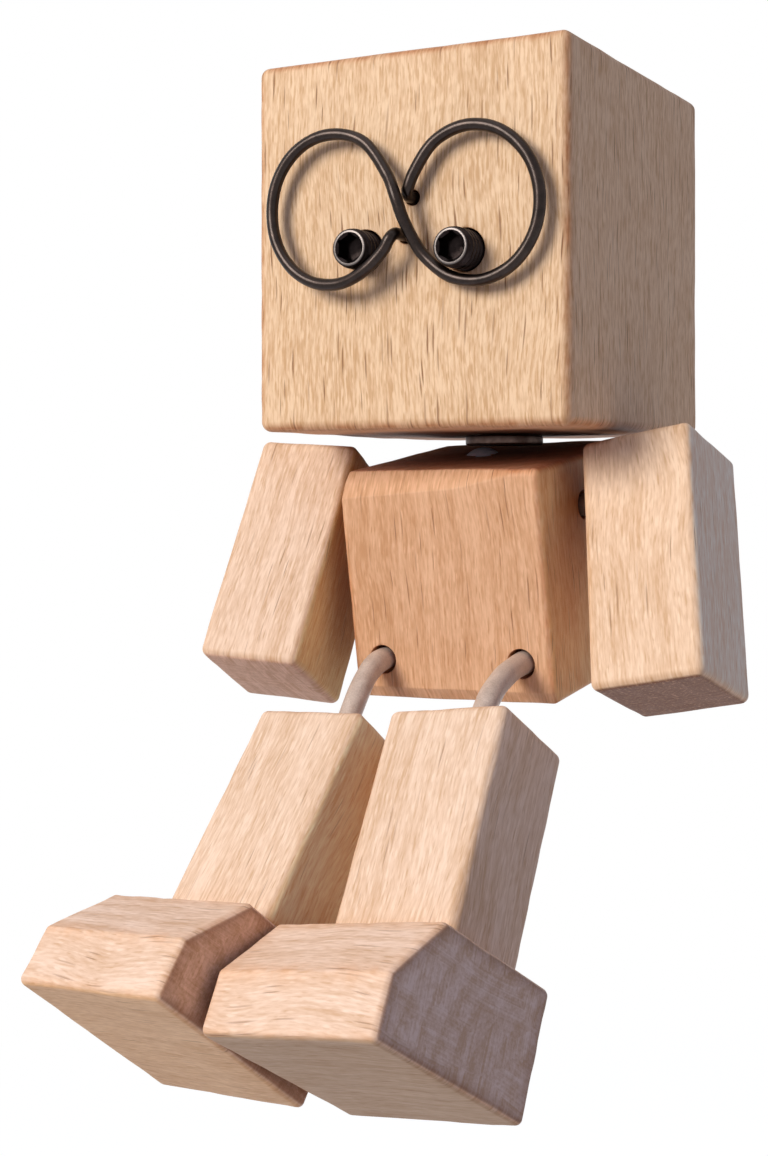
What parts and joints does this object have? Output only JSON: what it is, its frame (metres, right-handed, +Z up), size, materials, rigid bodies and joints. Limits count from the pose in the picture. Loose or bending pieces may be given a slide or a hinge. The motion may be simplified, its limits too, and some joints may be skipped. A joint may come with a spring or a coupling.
{
  "type": "jointed wooden block figure",
  "caption": "Seated figure of beech blocks with a large cube head, bent-wire eyes, cord-hung arms and legs, and blunt block feet.",
  "frame": {"origin": "middle of the torso's flat underside, the face that the figure sits on", "axes": "+Z up along the torso, -Y the way the torso faces, +X the figure's own left"},
  "size_m": [0.0658, 0.097, 0.1127],
  "materials": {
    "head_wood": "planed beech with short dark flecks, unvarnished",
    "torso_wood": "planed beech, warmer in tone, unvarnished",
    "limb_wood": "sanded pale beech, unvarnished",
    "foot_wood": "sanded pale beech with the grain across the foot",
    "dowel_wood": "plain beech dowel, glued in",
    "cord": "smooth round grey-brown cord, matt",
    "dark_wire": "dark annealed steel wire, satin",
    "black_steel": "black oxide, with a bright worn rim",
    "magnet_steel": "nickel-plated magnet disc",
    "bright_steel": "smooth domed steel screw head"
  },
  "bodies": {
    "torso": {"torso_block": "torso_wood"},
    "neck_link": {"neck_screw": "bright_steel"},
    "head": {"head_block": "head_wood", "eye_wire": "dark_wire", "neck_disc": "magnet_steel", "left_pupil": "black_steel", "right_pupil": "black_steel"},
    "left_shoulder_link": {"left_shoulder_cord": "cord"},
    "left_arm": {"left_arm_block": "limb_wood"},
    "left_hip_link": {"left_hip_cord": "cord"},
    "left_leg": {"left_leg_block": "limb_wood", "left_foot_block": "foot_wood", "left_ankle_dowel": "dowel_wood"},
    "right_shoulder_link": {"right_shoulder_cord": "cord"},
    "right_arm": {"right_arm_block": "limb_wood"},
    "right_hip_link": {"right_hip_cord": "cord"},
    "right_leg": {"right_leg_block": "limb_wood", "right_foot_block": "foot_wood", "right_ankle_dowel": "dowel_wood"}
  },
  "joints": [
    {"name": "head_turn", "type": "hinge", "parent": "torso", "child": "neck_link", "pos_m": [-0.001, 0.0008, 0.0259], "axis": [0, 0, 1], "range_deg": [-15, 17]},
    {"name": "head_nod", "type": "hinge", "parent": "neck_link", "child": "head", "pos_m": [-0.001, 0.0008, 0.0259], "axis": [-0.9989, -0.0471, 0], "range_deg": [-6, 1.5]},
    {"name": "left_arm_swing", "type": "hinge", "parent": "torso", "child": "left_shoulder_link", "pos_m": [0.01355, -0.0019, 0.0218], "axis": [-1, 0, 0], "range_deg": [-90, 12]},
    {"name": "left_arm_spread", "type": "hinge", "parent": "left_shoulder_link", "child": "left_arm", "pos_m": [0.0153, -0.0019, 0.0218], "axis": [-0.0372, -0.887, 0.4602], "range_deg": [-15, 8], "deforming": ["left_shoulder_cord"]},
    {"name": "right_arm_swing", "type": "hinge", "parent": "torso", "child": "right_shoulder_link", "pos_m": [-0.01355, -0.0019, 0.0218], "axis": [1, 0, 0], "range_deg": [-21, 90]},
    {"name": "right_arm_spread", "type": "hinge", "parent": "right_shoulder_link", "child": "right_arm", "pos_m": [-0.01505, -0.0019, 0.0218], "axis": [-0.1205, 0.8062, -0.5793], "range_deg": [-8, 12], "deforming": ["right_shoulder_cord"]},
    {"name": "left_leg_spread", "type": "hinge", "parent": "torso", "child": "left_hip_link", "pos_m": [0.0094, -0.0137, 0.0049], "axis": [0, -1, 0], "range_deg": [0, 35]},
    {"name": "left_leg_swing", "type": "hinge", "parent": "left_hip_link", "child": "left_leg", "pos_m": [0.0095, -0.02066, 0.00327], "axis": [0.9756, -0.1836, 0.1202], "range_deg": [-50, 40], "deforming": ["left_hip_cord"]},
    {"name": "right_leg_spread", "type": "hinge", "parent": "torso", "child": "right_hip_link", "pos_m": [-0.0094, -0.0137, 0.0049], "axis": [0, 1, 0], "range_deg": [0, 35]},
    {"name": "right_leg_swing", "type": "hinge", "parent": "right_hip_link", "child": "right_leg", "pos_m": [-0.00941, -0.02004, 0.00218], "axis": [0.9779, -0.1244, 0.168], "range_deg": [-50, 40], "deforming": ["right_hip_cord"]}
  ]
}
